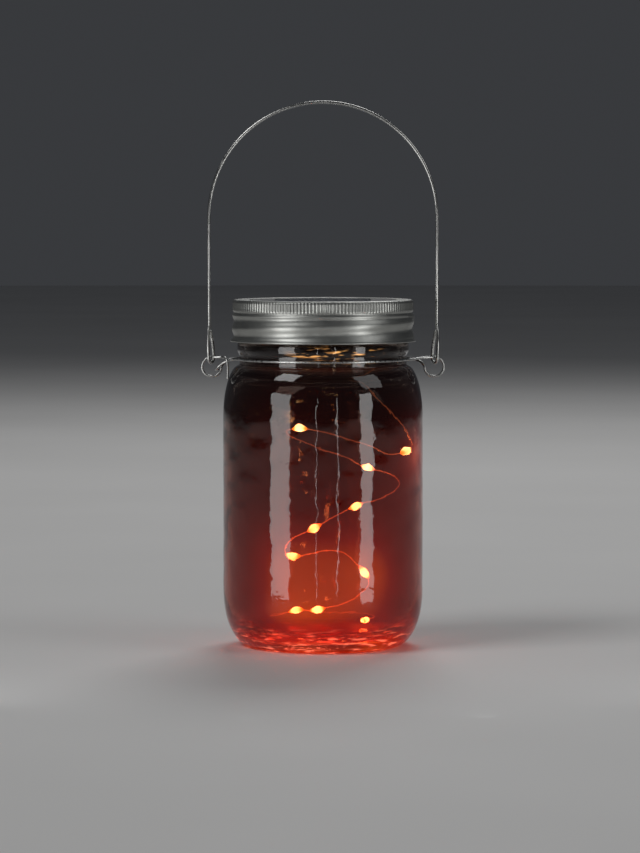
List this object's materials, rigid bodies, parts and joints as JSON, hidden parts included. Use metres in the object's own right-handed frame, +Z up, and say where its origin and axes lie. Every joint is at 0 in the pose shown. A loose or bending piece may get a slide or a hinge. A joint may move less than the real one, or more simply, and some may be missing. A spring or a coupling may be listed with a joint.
{
  "type": "mason jar lantern",
  "caption": "Glass screw-top jar lantern with a swinging wire bail, a screw band, and a solar insert that carries a string of lights.",
  "frame": {"origin": "centre of the jar's foot, on the surface it stands on", "axes": "+Z up along the jar's axis; +X towards the right ear, along the bail's hinge line; -Y towards the front, where most of the lights are"},
  "size_m": [0.0988, 0.0808, 0.22],
  "materials": {
    "jar_glass": "clear, smoke grey at the top fading to red below",
    "neck_wire_steel": "drawn wire, dull",
    "bail_steel": "drawn wire, satin",
    "band_tinplate": "satin tinplate",
    "gasket_rubber": "matt",
    "insert_plastic": "fine matt texture",
    "cover_plastic": "fine matt texture",
    "screw_steel": "zinc plated",
    "grommet_rubber": "matt",
    "panel_board": "laminate",
    "solar_silicon": "dark blue-black cells",
    "panel_resin": "clear resin over dark cells",
    "battery_sleeve": "shrink sleeve",
    "tray_plastic": "matt",
    "contact_steel": "nickel plated spring steel",
    "circuit_laminate": "solder mask",
    "chip_epoxy": "moulded epoxy",
    "inductor_body": "lacquer",
    "switch_shell": "tinned shell",
    "knob_plastic": "moulded",
    "string_copper": "lacquered copper wire",
    "light_resin": "clear warm resin drop, glowing"
  },
  "bodies": {
    "jar": {"glass_jar": "jar_glass", "neck_wire": "neck_wire_steel", "string_wire": "string_copper", "led_01": "light_resin", "led_02": "light_resin", "led_03": "light_resin", "led_04": "light_resin", "led_05": "light_resin", "led_06": "light_resin", "led_07": "light_resin", "led_08": "light_resin", "led_09": "light_resin", "led_10": "light_resin"},
    "bail": {"bail_handle": "bail_steel"},
    "solar_insert": {"gasket": "gasket_rubber", "insert_housing": "insert_plastic", "insert_cover": "cover_plastic", "cover_screw_1": "screw_steel", "cover_screw_2": "screw_steel", "cover_screw_3": "screw_steel", "wire_grommet": "grommet_rubber", "panel_board": "panel_board", "solar_cells": "solar_silicon", "panel_cover": "panel_resin", "battery": "battery_sleeve", "battery_tray": "tray_plastic", "contact_positive": "contact_steel", "contact_negative": "contact_steel", "circuit_board": "circuit_laminate", "driver_chip": "chip_epoxy", "inductor": "inductor_body", "switch_body": "switch_shell"},
    "screw_band": {"screw_band": "band_tinplate"},
    "switch": {"switch_knob": "knob_plastic"}
  },
  "joints": [
    {"name": "bail_swing", "type": "hinge", "parent": "jar", "child": "bail", "pos_m": [0, 0, 0.1167], "axis": [1, 0, 0], "range_deg": [-155, 155]},
    {"name": "lid_rise", "type": "slide", "parent": "jar", "child": "solar_insert", "axis": [0, 0, 1], "range_m": [0, 0.0215], "deforming": ["string_wire", "led_01", "led_02", "led_03", "led_04", "led_05", "led_06", "led_07", "led_08", "led_09", "led_10"]},
    {"name": "band_turn", "type": "hinge", "parent": "solar_insert", "child": "screw_band", "pos_m": [0, 0, 0.1315], "axis": [0, 0, 1], "range_deg": [0, 1218]},
    {"name": "switch_slide", "type": "slide", "parent": "solar_insert", "child": "switch", "axis": [1, 0, 0], "range_m": [0, 0.002]}
  ],
  "couplings": [
    {"joint": "lid_rise", "follows": "band_turn", "m_per_rad": 0.0010106}
  ]
}
